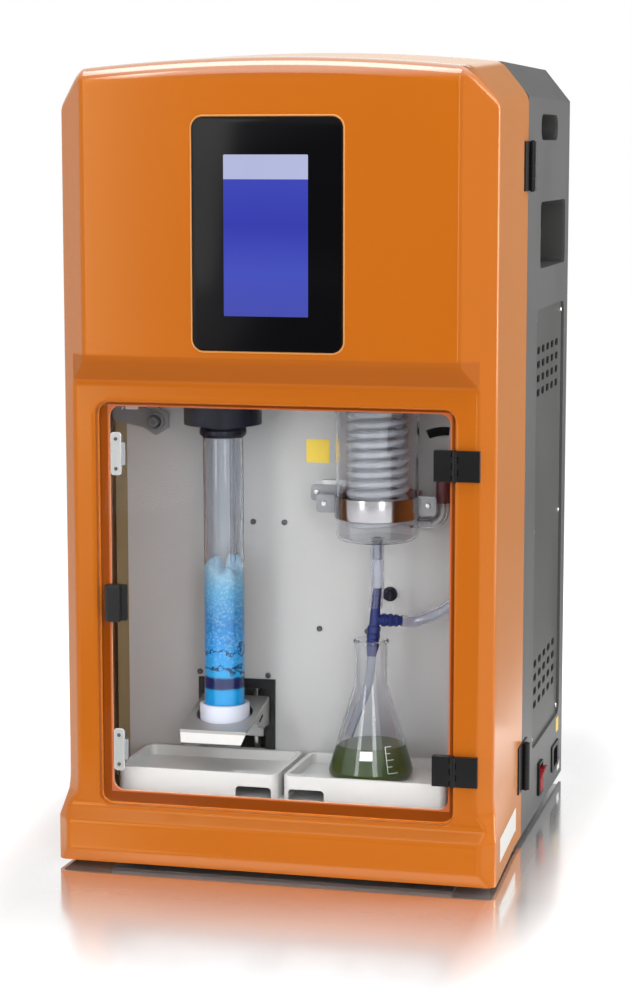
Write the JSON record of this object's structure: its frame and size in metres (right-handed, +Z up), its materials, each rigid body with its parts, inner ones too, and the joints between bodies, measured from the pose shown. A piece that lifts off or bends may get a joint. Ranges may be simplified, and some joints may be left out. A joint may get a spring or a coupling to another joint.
{
  "type": "kjeldahl distillation unit",
  "caption": "Bench distillation unit with a swinging moulded front cover, clear door, digestion tube on a lifter, coil condenser and receiver flask.",
  "frame": {"origin": "on the bench under the middle of the unit's box", "axes": "+X to the right of someone in front of the screen, +Y to the back, +Z up"},
  "size_m": [0.4546, 0.512, 0.8209],
  "materials": {
    "cover_orange": "gloss",
    "housing_grey": "satin",
    "plate_steel": "brushed",
    "black_plastic": "matte",
    "bezel_black": "gloss",
    "chamber_white": "satin",
    "tray_grey": "satin",
    "clear_glass": "clear",
    "clear_door": "clear",
    "rubber_black": "matte",
    "rubber_maroon": "matte",
    "white_polymer": "satin",
    "blue_polymer": "gloss",
    "clear_hose": "gloss",
    "rocker_red": "gloss",
    "polished_steel": "polished",
    "display_dark": "gloss"
  },
  "bodies": {
    "chassis": {"rear_housing": "housing_grey", "base_plate": "plate_steel", "rear_panel": "housing_grey", "rear_ports": "black_plastic", "vent_panels": "housing_grey", "grip_pockets": "black_plastic", "port_pocket": "black_plastic", "side_ports": "polished_steel", "power_inlet": "black_plastic", "switch_bezel": "black_plastic", "feet": "rubber_black", "bulkhead": "chamber_white", "chamber_floor": "chamber_white", "housing_hinge_leaves": "black_plastic", "cover_hinge_pins": "plate_steel", "stopper_block": "black_plastic", "stopper_seal": "rubber_black", "steam_tube": "white_polymer", "splash_head": "clear_glass", "vapour_bridge": "clear_glass", "condenser_jacket": "clear_glass", "condenser_coil": "clear_glass", "clamp_band": "polished_steel", "clamp_bracket": "polished_steel", "outlet_hose": "clear_hose", "tee_connector": "blue_polymer", "delivery_tube": "clear_hose", "feed_hose": "clear_hose", "bulkhead_ports": "black_plastic", "coolant_hose_lower": "rubber_maroon", "coolant_hose_upper": "rubber_black", "slot_trim": "rubber_black", "hose_grommet": "rubber_black", "lift_rods": "polished_steel", "rod_mounts": "plate_steel", "steam_generator": "plate_steel", "steam_hose": "rubber_black", "reagent_pump": "black_plastic", "power_supply": "plate_steel"},
    "cover": {"front_cover": "cover_orange", "screen_bezel": "bezel_black", "display_module": "display_dark", "cover_hinge_leaves": "black_plastic", "frame_hinge_leaves": "black_plastic", "door_hinge_pins": "plate_steel", "catch_magnets": "white_polymer"},
    "door": {"door_panel": "clear_door", "door_hinge_leaves": "black_plastic", "door_handle": "black_plastic", "catch_plates": "plate_steel"},
    "lifter": {"lift_carriage": "plate_steel", "lift_plate": "polished_steel", "tube_cup": "white_polymer", "digestion_tube": "clear_glass"},
    "left_tray": {"tray_left": "tray_grey"},
    "right_tray": {"tray_right": "tray_grey"},
    "receiver": {"flask": "clear_glass"},
    "rocker": {"power_rocker": "rocker_red"},
    "latch": {"cam_latch": "polished_steel"}
  },
  "joints": [
    {"name": "cover_swing", "type": "hinge", "parent": "chassis", "child": "cover", "pos_m": [0.2245, -0.049, 0.394], "axis": [0, 0, 1], "range_deg": [0, 110]},
    {"name": "door_swing", "type": "hinge", "parent": "cover", "child": "door", "pos_m": [0.1825, -0.2405, 0.2705], "axis": [0, 0, 1], "range_deg": [0, 110]},
    {"name": "tube_lift", "type": "slide", "parent": "chassis", "child": "lifter", "axis": [0, 0, 1], "range_m": [-0.02, 0], "stiffness_N_per_m": 300, "springref_m": 0.04},
    {"name": "latch_turn", "type": "hinge", "parent": "chassis", "child": "latch", "pos_m": [-0.159, -0.098, 0.439], "axis": [0, 1, 0], "range_deg": [0, 90]},
    {"name": "rocker_tilt", "type": "hinge", "parent": "chassis", "child": "rocker", "pos_m": [0.221, 0.071, 0.04], "axis": [0, 1, 0], "range_deg": [-18, 0]},
    {"name": "left_tray_lift", "type": "slide", "parent": "chassis", "child": "left_tray", "axis": [0, 0, 1], "range_m": [0, 0.005]},
    {"name": "right_tray_lift", "type": "slide", "parent": "chassis", "child": "right_tray", "axis": [0, 0, 1], "range_m": [0, 0.005]},
    {"name": "flask_lift", "type": "slide", "parent": "right_tray", "child": "receiver", "axis": [0, 0, 1], "range_m": [0, 0.005]}
  ]
}
